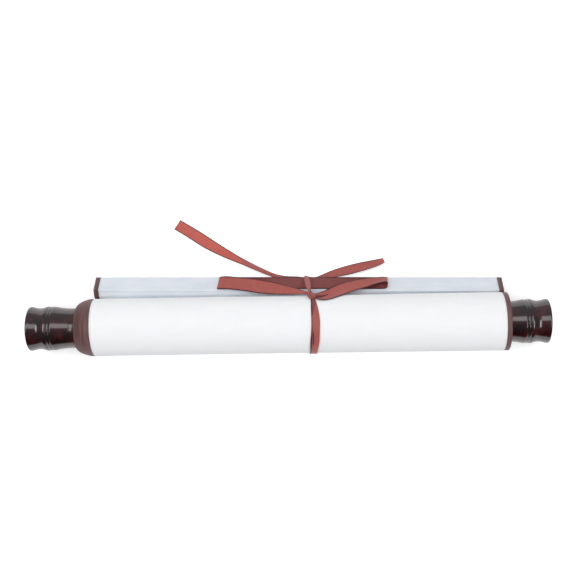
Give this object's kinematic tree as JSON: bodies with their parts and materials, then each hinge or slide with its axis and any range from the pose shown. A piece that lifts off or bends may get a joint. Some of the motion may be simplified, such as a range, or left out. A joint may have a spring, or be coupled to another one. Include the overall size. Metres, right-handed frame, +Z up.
{
  "type": "rolled hanging scroll",
  "caption": "Rolled hanging scroll: white paper wound on a rod with lacquered knobs, a half-round batten at its top edge, tied round with a flat ribbon.",
  "frame": {"origin": "on the table at the middle of the roll's small flat spot, under the roller's axis and halfway between the two knobs", "axes": "+X along the roller to the right knob, +Y from the roll to the batten behind it, +Z up from the table"},
  "size_m": [0.3712, 0.0995, 0.0415],
  "materials": {
    "white_paper": "matt",
    "brown_edging": "satin",
    "bare_wood": "matt",
    "lacquered_wood": "gloss lacquer",
    "red_ribbon": "satin",
    "staple_wire": "bright"
  },
  "bodies": {
    "root": {"scroll_sheet": "white_paper", "left_edge_strip": "brown_edging", "right_edge_strip": "brown_edging", "top_batten": "bare_wood", "roller_rod": "bare_wood", "left_knob": "lacquered_wood", "right_knob": "lacquered_wood", "hanging_ribbon": "red_ribbon", "tie_ribbon": "red_ribbon", "left_staple": "staple_wire", "right_staple": "staple_wire"}
  },
  "joints": []
}
